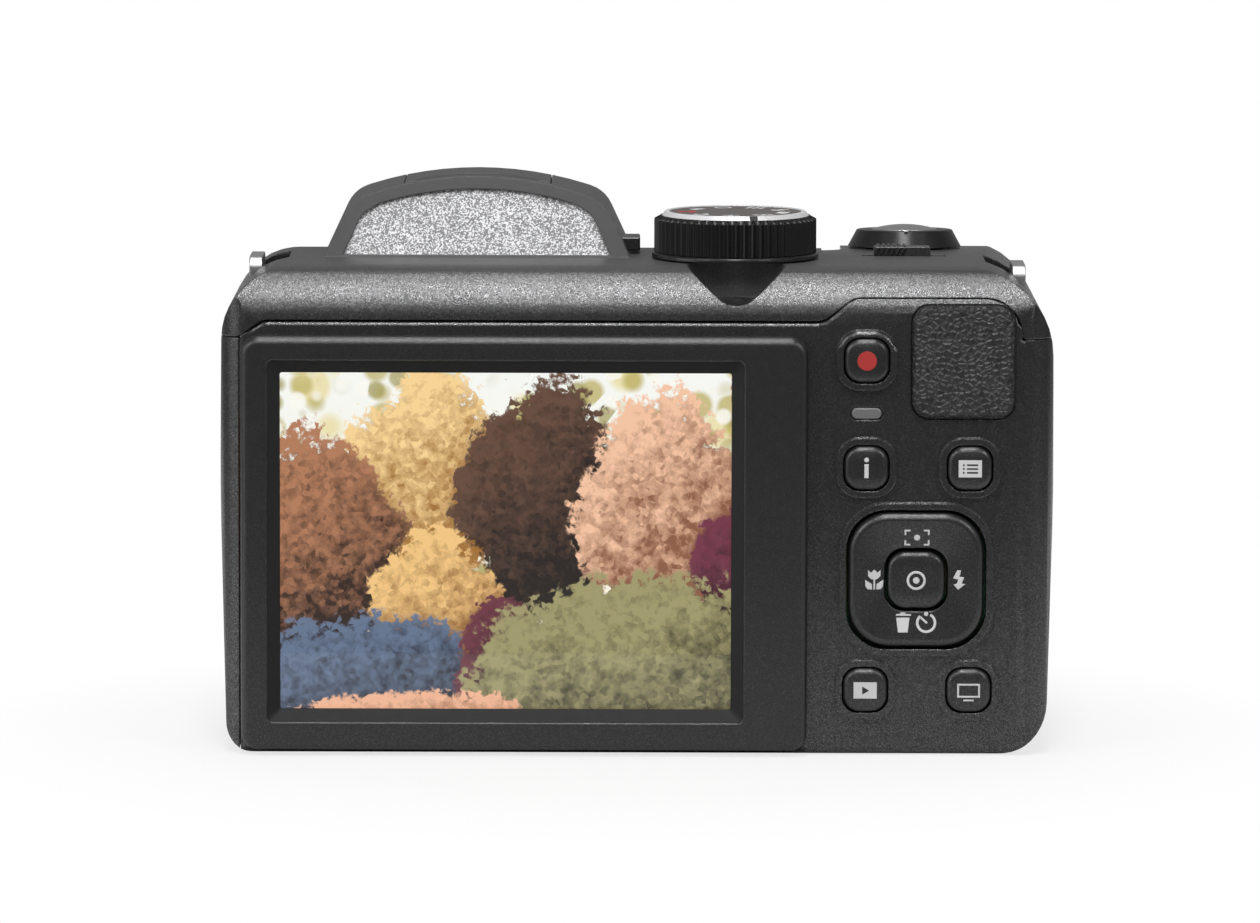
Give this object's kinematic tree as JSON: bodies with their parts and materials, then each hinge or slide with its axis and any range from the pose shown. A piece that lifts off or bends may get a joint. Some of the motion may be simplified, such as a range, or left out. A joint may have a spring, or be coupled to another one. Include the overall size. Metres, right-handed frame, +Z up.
{
  "type": "bridge camera",
  "caption": "Bridge camera with a hand grip, telescoping zoom lens, pop-up flash hump, mode dial, rear screen with a four-way pad and keys, battery door and tripod socket.",
  "frame": {"origin": "mouth of the tripod socket on the base plane", "axes": "+X to the user's right, +Y out of the lens, +Z up"},
  "size_m": [0.1133, 0.073, 0.0769],
  "materials": {
    "body_plastic": "charcoal plastic with fine silver sparkle",
    "bezel_plastic": "near-black plastic with a faint sparkle",
    "button_plastic": "dark keycap plastic",
    "black_rubber": "leather-grain rubber",
    "gloss_black": "glossy black plastic",
    "satin_metal": "satin bright metal",
    "dial_print": "brown-grey printed plate",
    "screen_glass": "clear cover glass",
    "screen_display": "lit display",
    "lens_glass": "coated glass",
    "diffuser": "frosted flash window",
    "signal_grey": "translucent grey light",
    "focus_amber": "amber lamp lens",
    "steel": "plain steel",
    "brass": "threaded insert",
    "circuit_board": "green circuit board",
    "inner_plastic": "black moulded plastic",
    "cover_plastic": "black door plastic"
  },
  "bodies": {
    "root": {"front_cover": "body_plastic", "rear_cover": "body_plastic", "top_cover": "body_plastic", "grip_skin": "black_rubber", "thumb_pad": "black_rubber", "screen_bezel": "bezel_plastic", "screen_window": "screen_glass", "screen_panel": "screen_display", "status_light": "signal_grey", "key_board": "circuit_board", "release_board": "circuit_board", "strap_lug_left": "satin_metal", "strap_lug_right": "satin_metal", "flash_pin": "steel", "flash_capacitor": "inner_plastic", "speaker": "inner_plastic", "focus_lamp": "focus_amber", "lens_ring": "gloss_black", "lens_housing": "inner_plastic", "rear_glass": "lens_glass", "zoom_motor": "steel", "chassis": "steel", "image_sensor": "circuit_board", "sensor_board": "circuit_board", "main_board": "circuit_board", "data_socket": "steel", "screws": "steel", "tripod_socket": "brass", "battery_box": "inner_plastic", "battery": "inner_plastic", "memory_card": "inner_plastic", "battery_pin": "steel", "port_pin_rod": "steel"},
    "outer_barrel": {"outer_barrel": "gloss_black"},
    "inner_barrel": {"inner_barrel": "gloss_black", "front_ring": "gloss_black", "front_glass": "lens_glass", "zoom_glass": "lens_glass"},
    "cam_ring": {"cam_ring": "steel"},
    "mode_dial": {"mode_dial": "gloss_black", "dial_ring": "satin_metal", "dial_plate": "dial_print"},
    "zoom_ring": {"zoom_ring": "gloss_black"},
    "shutter_button": {"shutter_button": "satin_metal"},
    "power_slider": {"power_slider": "button_plastic"},
    "flash_head": {"flash_head": "body_plastic", "flash_window": "diffuser"},
    "flash_button": {"flash_button": "button_plastic"},
    "record_button": {"record_button": "button_plastic"},
    "info_button": {"info_button": "button_plastic"},
    "menu_button": {"menu_button": "button_plastic"},
    "play_button": {"play_button": "button_plastic"},
    "display_button": {"display_button": "button_plastic"},
    "pad_pivot_ring": {"pad_pivot_ring": "steel"},
    "four_way_pad": {"four_way_pad": "button_plastic"},
    "set_button": {"set_button": "button_plastic"},
    "battery_door": {"battery_door": "cover_plastic"},
    "battery_latch": {"battery_latch": "cover_plastic"},
    "port_cover": {"port_cover": "black_rubber"}
  },
  "joints": [
    {"name": "zoom_slide", "type": "slide", "parent": "root", "child": "outer_barrel", "axis": [0, 1, 0], "range_m": [0, 0.018]},
    {"name": "inner_slide", "type": "slide", "parent": "outer_barrel", "child": "inner_barrel", "axis": [0, 1, 0], "range_m": [0, 0.014]},
    {"name": "cam_turn", "type": "hinge", "parent": "root", "child": "cam_ring", "pos_m": [-0.022, 0, 0.0335], "axis": [0, 1, 0], "range_deg": [0, 100]},
    {"name": "dial_turn", "type": "hinge", "parent": "root", "child": "mode_dial", "pos_m": [0.01337, -0.0015, 0.066], "axis": [0, 0, 1], "continuous": true},
    {"name": "zoom_lever_turn", "type": "hinge", "parent": "root", "child": "zoom_ring", "pos_m": [0.0374, 0.025, 0.06516], "axis": [0, 0.0349, 0.9994], "range_deg": [-20, 20], "stiffness_Nm_per_rad": 0.05},
    {"name": "shutter_press", "type": "slide", "parent": "root", "child": "shutter_button", "axis": [0, -0.0349, -0.9994], "range_m": [0, 0.0012], "stiffness_N_per_m": 400},
    {"name": "power_slide", "type": "slide", "parent": "root", "child": "power_slider", "axis": [1, 0, 0], "range_m": [0, 0.0018], "stiffness_N_per_m": 300},
    {"name": "flash_popup", "type": "hinge", "parent": "root", "child": "flash_head", "pos_m": [-0.022, 0.00742, 0.0723], "axis": [1, 0, 0], "range_deg": [0, 40]},
    {"name": "flash_button_press", "type": "slide", "parent": "root", "child": "flash_button", "axis": [-1, 0, 0], "range_m": [0, 0.0008], "stiffness_N_per_m": 500},
    {"name": "record_press", "type": "slide", "parent": "root", "child": "record_button", "axis": [0, 1, 0], "range_m": [0, 0.0005], "stiffness_N_per_m": 500},
    {"name": "info_press", "type": "slide", "parent": "root", "child": "info_button", "axis": [0, 1, 0], "range_m": [0, 0.0005], "stiffness_N_per_m": 500},
    {"name": "menu_press", "type": "slide", "parent": "root", "child": "menu_button", "axis": [0, 1, 0], "range_m": [0, 0.0005], "stiffness_N_per_m": 500},
    {"name": "play_press", "type": "slide", "parent": "root", "child": "play_button", "axis": [0, 1, 0], "range_m": [0, 0.0005], "stiffness_N_per_m": 500},
    {"name": "display_press", "type": "slide", "parent": "root", "child": "display_button", "axis": [0, 1, 0], "range_m": [0, 0.0005], "stiffness_N_per_m": 500},
    {"name": "pad_tilt_up", "type": "hinge", "parent": "root", "child": "pad_pivot_ring", "pos_m": [0.03778, -0.0158, 0.02402], "axis": [1, 0, 0], "range_deg": [-2.5, 2.5], "stiffness_Nm_per_rad": 0.2},
    {"name": "pad_tilt_side", "type": "hinge", "parent": "pad_pivot_ring", "child": "four_way_pad", "pos_m": [0.03778, -0.0178, 0.02402], "axis": [0, 0, 1], "range_deg": [-2.5, 2.5], "stiffness_Nm_per_rad": 0.2},
    {"name": "set_press", "type": "slide", "parent": "root", "child": "set_button", "axis": [0, 1, 0], "range_m": [0, 0.0005], "stiffness_N_per_m": 500},
    {"name": "battery_door_swing", "type": "hinge", "parent": "root", "child": "battery_door", "pos_m": [0.0312, 0.016, 0.0013], "axis": [0, 1, 0], "range_deg": [0, 100]},
    {"name": "latch_slide", "type": "slide", "parent": "battery_door", "child": "battery_latch", "axis": [-1, 0, 0], "range_m": [0, 0.0016]},
    {"name": "port_cover_swing", "type": "hinge", "parent": "root", "child": "port_cover", "pos_m": [0.05555, 0.00225, 0.035], "axis": [0, 0, 1], "range_deg": [0, 100]}
  ],
  "couplings": [
    {"joint": "inner_slide", "follows": "zoom_slide", "ratio": 0.7777},
    {"joint": "cam_turn", "follows": "zoom_slide", "rad_per_m": 92}
  ]
}
